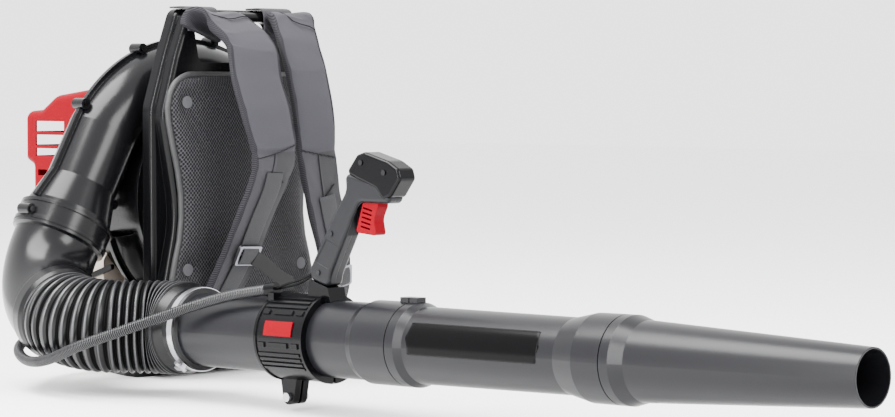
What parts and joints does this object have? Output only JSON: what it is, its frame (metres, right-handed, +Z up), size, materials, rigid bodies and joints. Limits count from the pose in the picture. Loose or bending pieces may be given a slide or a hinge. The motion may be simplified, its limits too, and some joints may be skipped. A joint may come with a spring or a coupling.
{
  "type": "backpack leaf blower",
  "caption": "Backpack leaf blower: padded frame with straps, fan casing, covered engine and tank, and a bent outlet with hose, long jointed tube and pistol grip.",
  "frame": {"origin": "middle of the base's flat underside, where the machine stands", "axes": "+Z up, +Y ahead of the wearer, the way the tubes point, +X to the wearer's right, the side the tubes are on"},
  "size_m": [0.6249, 1.6974, 0.5476],
  "materials": {
    "frame_black": "glossy moulded plastic",
    "casing_black": "smooth satin moulding",
    "tube_grey": "satin moulding",
    "hose_black": "ribbed flexible moulding",
    "conduit_black": "finely ribbed split tube",
    "grip_grey": "fine textured moulding",
    "switch_black": "satin moulding",
    "red_plastic": "smooth moulding",
    "tank_beige": "translucent blow-moulded plastic",
    "rubber_black": "soft moulded rubber",
    "pad_mesh": "coarse spacer mesh",
    "strap_nylon": "woven nylon over foam",
    "webbing_grey": "woven webbing",
    "button_grey": "cloth covered button",
    "steel": "zinc plated",
    "machined_steel": "ground",
    "cast_alloy": "die cast",
    "fan_plastic": "glass filled moulding",
    "foam_grey": "open cell foam",
    "ceramic_white": "glazed insulator",
    "buckle_metal": "polished wire and plate"
  },
  "bodies": {
    "pack": {"back_frame": "frame_black", "frame_back_plate": "frame_black", "base_tray": "frame_black", "frame_bolts": "steel", "volute_front": "casing_black", "volute_rear": "casing_black", "volute_screws": "steel", "intake_grille": "casing_black", "rubber_mounts": "rubber_black", "fuel_tank": "tank_beige", "fuel_line": "rubber_black", "tank_stay": "switch_black", "crankcase": "cast_alloy", "bearings": "machined_steel", "cylinder": "cast_alloy", "piston": "cast_alloy", "spark_plug": "ceramic_white", "ignition_coil": "switch_black", "muffler": "steel", "carburetor": "cast_alloy", "air_filter": "foam_grey", "air_filter_cover": "switch_black", "engine_cover": "red_plastic", "recoil_housing": "switch_black", "starter_rope": "webbing_grey", "outlet_collar": "casing_black", "conduit_a": "conduit_black", "back_pad": "pad_mesh", "pad_buttons": "button_grey", "strap_right": "strap_nylon", "strap_left": "strap_nylon", "strap_webbing": "webbing_grey", "ladder_locks": "buckle_metal", "strap_patches": "strap_nylon"},
    "crank": {"crankshaft": "machined_steel", "flywheel": "cast_alloy", "impeller": "fan_plastic"},
    "pulley": {"starter_pulley": "fan_plastic"},
    "starter": {"starter_handle": "switch_black"},
    "cap": {"fuel_cap": "switch_black"},
    "choke": {"choke_lever": "red_plastic"},
    "primer": {"primer_bulb": "rubber_black"},
    "elbow_body": {"elbow": "casing_black", "flex_hose": "hose_black", "conduit_b": "conduit_black"},
    "tube_body": {"upper_tube": "tube_grey", "hose_clamp": "steel", "conduit_c": "conduit_black"},
    "middle_body": {"middle_tube": "tube_grey"},
    "nozzle_body": {"nozzle": "tube_grey"},
    "handle": {"clamp_ring": "switch_black", "label_plate": "red_plastic", "clamp_bolt": "steel", "grip_left": "grip_grey", "grip_right": "grip_grey", "switch_head": "switch_black", "handle_screws": "steel"},
    "trigger": {"throttle_trigger": "red_plastic"},
    "cruise": {"cruise_lever": "switch_black"},
    "stop": {"stop_switch": "red_plastic"}
  },
  "joints": [
    {"name": "crankshaft_spin", "type": "hinge", "parent": "pack", "child": "crank", "pos_m": [-0.015, 0, 0.265], "axis": [0, 1, 0], "continuous": true},
    {"name": "starter_pull", "type": "slide", "parent": "pack", "child": "starter", "axis": [-1, 0, 0], "range_m": [0, 0.6], "stiffness_N_per_m": 8, "deforming": ["starter_rope"]},
    {"name": "pulley_turn", "type": "hinge", "parent": "pack", "child": "pulley", "pos_m": [-0.015, -0.171, 0.265], "axis": [0, 1, 0], "range_deg": [0, 1000]},
    {"name": "fuel_cap_turn", "type": "hinge", "parent": "pack", "child": "cap", "pos_m": [-0.078, -0.12, 0.19], "axis": [0, 0, 1], "range_deg": [0, 90]},
    {"name": "choke_turn", "type": "hinge", "parent": "pack", "child": "choke", "pos_m": [-0.13, -0.043, 0.33], "axis": [0, 1, 0], "range_deg": [-60, 0]},
    {"name": "primer_press", "type": "slide", "parent": "pack", "child": "primer", "axis": [0, 0, 1], "range_m": [0, 0.004], "stiffness_N_per_m": 400},
    {"name": "elbow_swivel", "type": "hinge", "parent": "pack", "child": "elbow_body", "pos_m": [0.23216, 0.02, 0.23164], "axis": [0.4848, 0, -0.8746], "range_deg": [-5, 40], "deforming": ["conduit_a"]},
    {"name": "hose_bend", "type": "hinge", "parent": "elbow_body", "child": "tube_body", "pos_m": [0.29, 0.23, 0.098], "axis": [1, 0, 0], "range_deg": [-3, 35], "deforming": ["flex_hose", "conduit_b"]},
    {"name": "middle_tube_twist", "type": "hinge", "parent": "tube_body", "child": "middle_body", "pos_m": [0.24, 0.74495, 0.1022], "axis": [0, 0.9999, 0.0153], "range_deg": [0, 20]},
    {"name": "nozzle_twist", "type": "hinge", "parent": "middle_body", "child": "nozzle_body", "pos_m": [0.24, 1.09991, 0.10763], "axis": [0, 0.9999, 0.0153], "range_deg": [0, 20]},
    {"name": "handle_slide", "type": "slide", "parent": "tube_body", "child": "handle", "axis": [0, 0.9999, 0.0153], "range_m": [-0.02, 0.04], "deforming": ["conduit_c"]},
    {"name": "throttle_pull", "type": "hinge", "parent": "handle", "child": "trigger", "pos_m": [0.24, 0.68, 0.287], "axis": [1, 0, 0], "range_deg": [-12, 0], "stiffness_Nm_per_rad": 0.5, "springref_deg": 2.86},
    {"name": "cruise_turn", "type": "hinge", "parent": "handle", "child": "cruise", "pos_m": [0.224, 0.69, 0.312], "axis": [1, 0, 0], "range_deg": [-40, 0]},
    {"name": "stop_press", "type": "slide", "parent": "handle", "child": "stop", "axis": [0, 0.7682, -0.6402], "range_m": [0, 0.0008], "stiffness_N_per_m": 400}
  ],
  "couplings": [
    {"joint": "pulley_turn", "follows": "starter_pull", "rad_per_m": 26.3}
  ]
}
